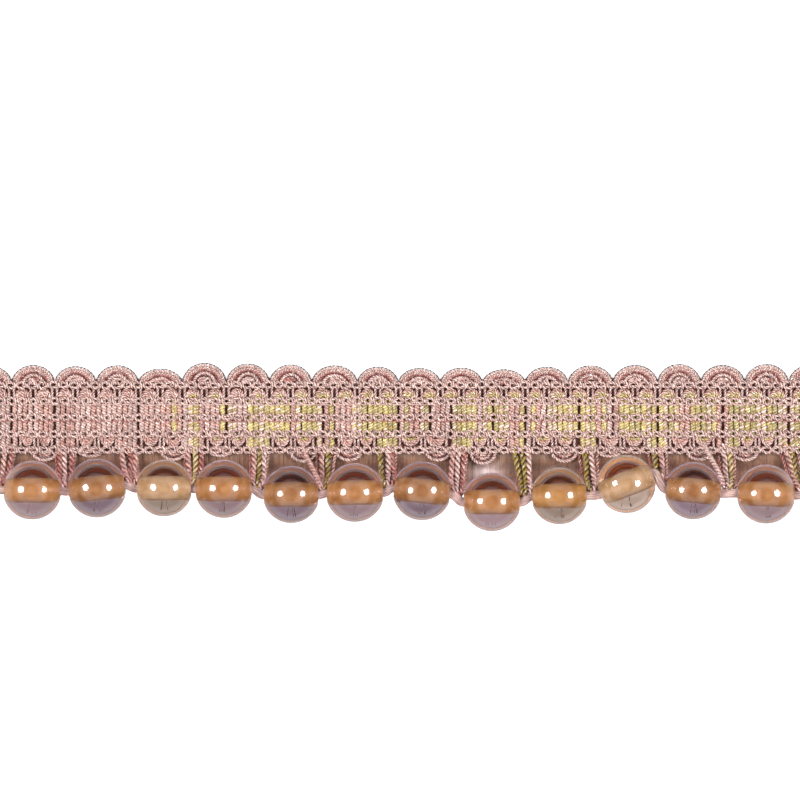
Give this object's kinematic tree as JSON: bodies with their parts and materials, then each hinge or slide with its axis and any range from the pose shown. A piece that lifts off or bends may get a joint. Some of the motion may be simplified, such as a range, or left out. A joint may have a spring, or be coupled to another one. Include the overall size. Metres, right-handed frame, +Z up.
{
  "type": "beaded trim",
  "caption": "Cut length of beaded trim: a gimp braid with a scalloped edge and a row of round glass beads hung along its lower edge.",
  "frame": {"origin": "middle of the trim's outline as seen from above, at the height of the flat back it lies on", "axes": "+X along the trim, as the picture runs from left to right; +Y across it from the beads to the scalloped edge; +Z up out of its face, towards the viewer"},
  "size_m": [0.146, 0.0299, 0.0104],
  "materials": {
    "heading_gimp": "pale pink, dusty rose and yellow-green gimp yarn with a slight metallic sparkle",
    "loop_cord": "twisted pink and olive cord",
    "core_floss": "silky taupe floss",
    "bead_glass": "polished glass, amber within and pale lilac without"
  },
  "bodies": {
    "root": {"heading": "heading_gimp", "bead_01": "bead_glass", "bead_02": "bead_glass", "bead_03": "bead_glass", "bead_04": "bead_glass", "bead_05": "bead_glass", "bead_06": "bead_glass", "bead_07": "bead_glass", "bead_08": "bead_glass", "bead_09": "bead_glass", "bead_10": "bead_glass", "bead_11": "bead_glass", "bead_12": "bead_glass", "bead_loop_01": "loop_cord", "bead_loop_02": "loop_cord", "bead_loop_03": "loop_cord", "bead_loop_04": "loop_cord", "bead_loop_05": "loop_cord", "bead_loop_06": "loop_cord", "bead_loop_07": "loop_cord", "bead_loop_08": "loop_cord", "bead_loop_09": "loop_cord", "bead_loop_10": "loop_cord", "bead_loop_11": "loop_cord", "bead_loop_12": "loop_cord", "bead_loop_13": "loop_cord", "core_floss": "core_floss"}
  },
  "joints": []
}
